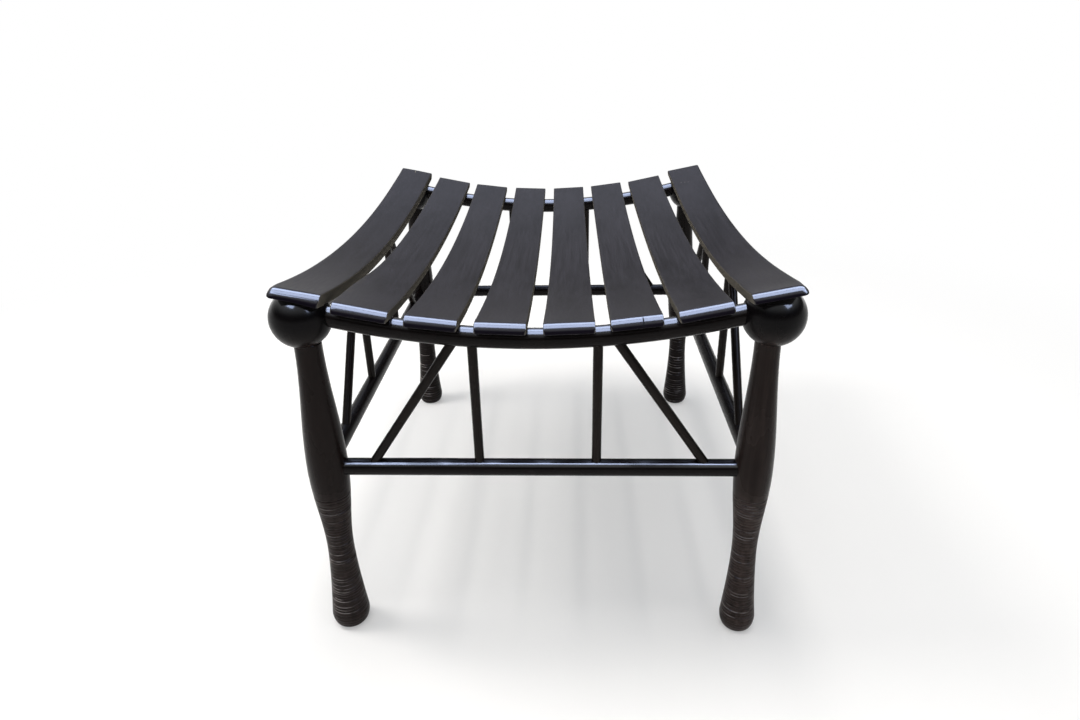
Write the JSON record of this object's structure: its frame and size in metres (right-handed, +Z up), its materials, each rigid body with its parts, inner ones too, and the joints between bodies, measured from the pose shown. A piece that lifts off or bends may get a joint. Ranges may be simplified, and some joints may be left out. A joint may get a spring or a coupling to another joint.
{
  "type": "slatted stool",
  "caption": "Low slatted stool with a seat dished both ways, ball-topped turned legs, round stretchers and a lattice of posts and slanted braces.",
  "frame": {"origin": "on the floor, under the middle of the seat", "axes": "+X to the right seen from the front, +Y from front to back along the slats, +Z up"},
  "size_m": [0.408, 0.48, 0.3406],
  "materials": {
    "turned_leg": "black-stained wood, satin lacquer",
    "frame_bar": "black-stained wood, satin lacquer",
    "strut": "black-stained wood, satin lacquer",
    "slat": "black-stained wood, satin lacquer",
    "peg": "bare hardwood"
  },
  "bodies": {
    "root": {"leg_front_left": "turned_leg", "leg_front_right": "turned_leg", "leg_back_left": "turned_leg", "leg_back_right": "turned_leg", "seat_rail_front": "frame_bar", "seat_rail_back": "frame_bar", "seat_rail_left": "frame_bar", "seat_rail_right": "frame_bar", "stretcher_front": "frame_bar", "stretcher_back": "frame_bar", "stretcher_left": "frame_bar", "stretcher_right": "frame_bar", "post_front_left": "strut", "post_front_right": "strut", "post_back_left": "strut", "post_back_right": "strut", "post_left_front": "strut", "post_left_back": "strut", "post_right_front": "strut", "post_right_back": "strut", "brace_front_left": "strut", "brace_front_right": "strut", "brace_back_left": "strut", "brace_back_right": "strut", "brace_left_front": "strut", "brace_left_back": "strut", "brace_right_front": "strut", "brace_right_back": "strut", "slat_1": "slat", "slat_2": "slat", "slat_3": "slat", "slat_4": "slat", "slat_5": "slat", "slat_6": "slat", "slat_7": "slat", "slat_8": "slat", "peg_front_1": "peg", "peg_front_2": "peg", "peg_front_3": "peg", "peg_front_4": "peg", "peg_front_5": "peg", "peg_front_6": "peg", "peg_front_7": "peg", "peg_front_8": "peg", "peg_back_1": "peg", "peg_back_2": "peg", "peg_back_3": "peg", "peg_back_4": "peg", "peg_back_5": "peg", "peg_back_6": "peg", "peg_back_7": "peg", "peg_back_8": "peg"}
  },
  "joints": []
}
